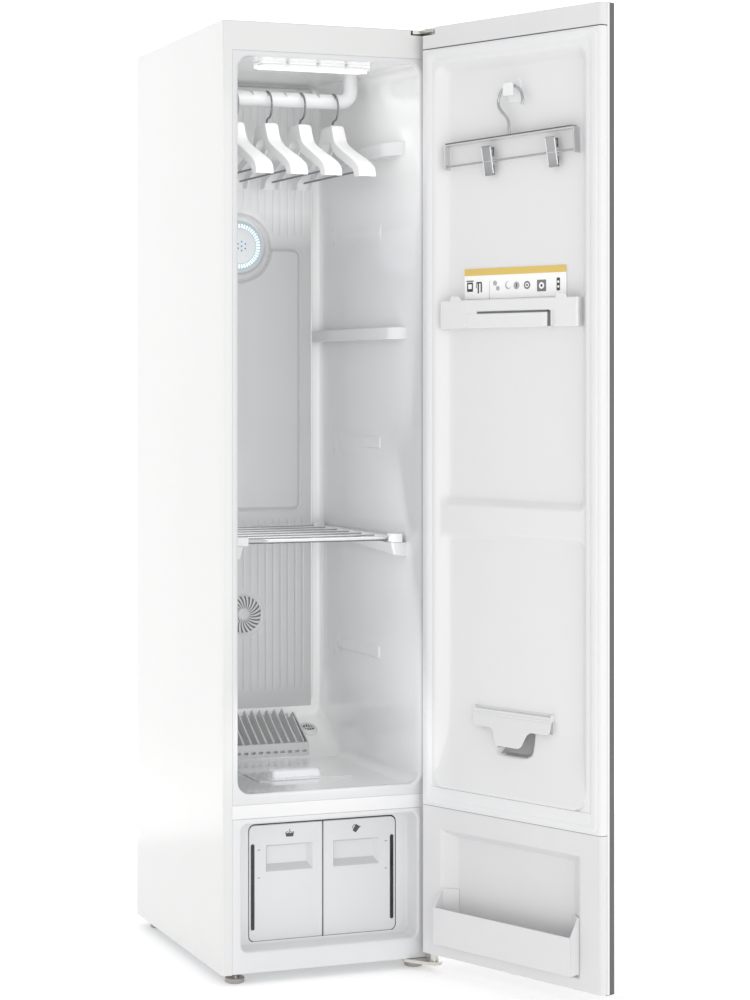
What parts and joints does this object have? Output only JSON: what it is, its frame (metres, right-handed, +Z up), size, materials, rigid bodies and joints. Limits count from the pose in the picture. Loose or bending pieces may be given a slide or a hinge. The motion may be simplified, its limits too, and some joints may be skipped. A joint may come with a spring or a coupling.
{
  "type": "clothes care steam cabinet",
  "caption": "Tall narrow clothes care steam cabinet with a side-hinged door, shaking hanger rail with hangers, pull-out rod rack, steam tray, lint filter and slide-out water tanks.",
  "frame": {"origin": "on the floor, under the middle of the whole footprint with the door standing open", "axes": "+X to the viewer's right when facing the front, +Y to the rear, +Z up"},
  "size_m": [0.6108, 0.9724, 1.845],
  "materials": {
    "casing_white": "gloss",
    "trim_white": "gloss",
    "bezel_grey": "satin",
    "liner_grey": "gloss",
    "duct_grey": "gloss",
    "outlet_grey": "gloss",
    "grille_grey": "satin",
    "lamp_white": "gloss",
    "lens_white": "gloss",
    "tray_grey": "satin",
    "slat_grey": "satin",
    "nozzle_white": "gloss",
    "filter_white": "gloss",
    "compressor_black": "satin",
    "fin_aluminium": "satin",
    "boiler_metal": "satin",
    "blower_grey": "satin",
    "wheel_black": "satin",
    "board_green": "satin",
    "motor_steel": "satin",
    "inlet_black": "satin",
    "zinc_sheet": "satin",
    "hinge_nickel": "satin",
    "foot_chrome": "polished",
    "rail_white": "gloss",
    "hanger_white": "gloss",
    "wire_chrome": "polished",
    "rack_white": "gloss",
    "rod_white": "gloss",
    "tank_grey": "satin",
    "window_black": "gloss",
    "door_mirror": "polished",
    "door_metal": "satin",
    "door_white": "satin",
    "door_grey": "satin",
    "seal_white": "matte",
    "strip_steel": "satin",
    "clip_chrome": "polished"
  },
  "bodies": {
    "cabinet": {"outer_casing": "casing_white", "header_panel": "casing_white", "crossbar_trim": "trim_white", "base_frame": "zinc_sheet", "back_panel": "zinc_sheet", "tank_bay_bezel": "bezel_grey", "cavity_liner": "liner_grey", "rear_duct_cover": "duct_grey", "air_outlet": "outlet_grey", "fan_grille": "grille_grey", "lamp_housing": "lamp_white", "lamp_lens": "lens_white", "steam_tray": "tray_grey", "steam_slats": "slat_grey", "steam_nozzle": "nozzle_white", "compressor": "compressor_black", "heat_exchanger": "fin_aluminium", "steam_generator": "boiler_metal", "blower_housing": "blower_grey", "control_board": "board_green", "rail_motor": "motor_steel", "power_inlet": "inlet_black", "hinge_upper": "hinge_nickel", "hinge_lower": "hinge_nickel", "rear_feet": "foot_chrome"},
    "foot_left": {"front_foot_left": "foot_chrome"},
    "foot_right": {"front_foot_right": "foot_chrome"},
    "blower": {"blower_wheel": "wheel_black"},
    "crank": {"rail_crank": "motor_steel"},
    "rail": {"hanger_rail": "rail_white"},
    "rack": {"rack_sides": "rack_white", "rack_rods": "rod_white"},
    "filter": {"lint_filter": "filter_white"},
    "supply": {"supply_tank": "tank_grey", "supply_window": "window_black"},
    "drain": {"drain_tank": "tank_grey", "drain_window": "window_black"},
    "door": {"door_glass": "door_mirror", "door_frame": "door_metal", "door_liner": "door_white", "door_lower_liner": "door_grey", "door_cap": "door_grey", "door_gasket": "seal_white", "door_bin": "door_grey", "holder_pocket": "door_white", "door_hook": "door_white", "hem_clamp_base": "door_grey"},
    "flap": {"hem_clamp_flap": "door_grey"},
    "clip_hanger": {"clip_hanger_hook": "wire_chrome", "clip_hanger_bar": "strip_steel"},
    "clip_a": {"clip_left": "clip_chrome"},
    "clip_b": {"clip_right": "clip_chrome"},
    "hanger_1": {"hanger_1_body": "hanger_white", "hanger_1_hook": "wire_chrome"},
    "hanger_2": {"hanger_2_body": "hanger_white", "hanger_2_hook": "wire_chrome"},
    "hanger_3": {"hanger_3_body": "hanger_white", "hanger_3_hook": "wire_chrome"},
    "hanger_4": {"hanger_4_body": "hanger_white", "hanger_4_hook": "wire_chrome"}
  },
  "joints": [
    {"name": "door_swing", "type": "hinge", "parent": "cabinet", "child": "door", "pos_m": [0.12464, -0.08502, 0.9], "axis": [0, 0, 1], "range_deg": [-113, 10]},
    {"name": "rail_shake", "type": "slide", "parent": "cabinet", "child": "rail", "axis": [1, 0, 0], "range_m": [-0.01, 0.01]},
    {"name": "crank_turn", "type": "hinge", "parent": "cabinet", "child": "crank", "pos_m": [-0.08286, 0.19518, 1.82], "axis": [0, 0, 1], "continuous": true},
    {"name": "blower_turn", "type": "hinge", "parent": "cabinet", "child": "blower", "pos_m": [0.02714, 0.38118, 0.25], "axis": [0, 1, 0], "continuous": true},
    {"name": "rack_slide", "type": "slide", "parent": "cabinet", "child": "rack", "axis": [0, -1, 0], "range_m": [0, 0.25]},
    {"name": "filter_lift", "type": "slide", "parent": "cabinet", "child": "filter", "axis": [0, 0, 1], "range_m": [0, 0.06]},
    {"name": "supply_slide", "type": "slide", "parent": "cabinet", "child": "supply", "axis": [0, -1, 0], "range_m": [0, 0.15]},
    {"name": "drain_slide", "type": "slide", "parent": "cabinet", "child": "drain", "axis": [0, -1, 0], "range_m": [0, 0.15]},
    {"name": "foot_left_turn", "type": "hinge", "parent": "cabinet", "child": "foot_left", "pos_m": [-0.27086, -0.03082, 0.01], "axis": [0, 0, 1], "continuous": true},
    {"name": "foot_right_turn", "type": "hinge", "parent": "cabinet", "child": "foot_right", "pos_m": [0.10514, -0.03082, 0.01], "axis": [0, 0, 1], "continuous": true},
    {"name": "flap_open", "type": "hinge", "parent": "door", "child": "flap", "pos_m": [0.19817, -0.27923, 0.527], "axis": [-0.3907, 0.9205, 0], "range_deg": [0, 25], "stiffness_Nm_per_rad": 0.05, "springref_deg": -17.19},
    {"name": "clip_hanger_swing", "type": "hinge", "parent": "door", "child": "clip_hanger", "pos_m": [0.19126, -0.28216, 1.711], "axis": [-0.9205, -0.3907, 0], "range_deg": [-2.5, 2.5]},
    {"name": "clip_left_slide", "type": "slide", "parent": "clip_hanger", "child": "clip_a", "axis": [-0.3905, 0.9199, -0.0366], "range_m": [-0.08, 0.08]},
    {"name": "clip_right_slide", "type": "slide", "parent": "clip_hanger", "child": "clip_b", "axis": [-0.3905, 0.9199, -0.0366], "range_m": [-0.035, 0.05]},
    {"name": "hanger_1_swing", "type": "hinge", "parent": "rail", "child": "hanger_1", "pos_m": [-0.19261, 0.19518, 1.73], "axis": [1, 0, 0], "range_deg": [-6, 6]},
    {"name": "hanger_2_swing", "type": "hinge", "parent": "rail", "child": "hanger_2", "pos_m": [-0.12011, 0.19518, 1.73], "axis": [1, 0, 0], "range_deg": [-6, 6]},
    {"name": "hanger_3_swing", "type": "hinge", "parent": "rail", "child": "hanger_3", "pos_m": [-0.04761, 0.19518, 1.73], "axis": [1, 0, 0], "range_deg": [-6, 6]},
    {"name": "hanger_4_swing", "type": "hinge", "parent": "rail", "child": "hanger_4", "pos_m": [0.02489, 0.19518, 1.73], "axis": [1, 0, 0], "range_deg": [-6, 6]}
  ]
}
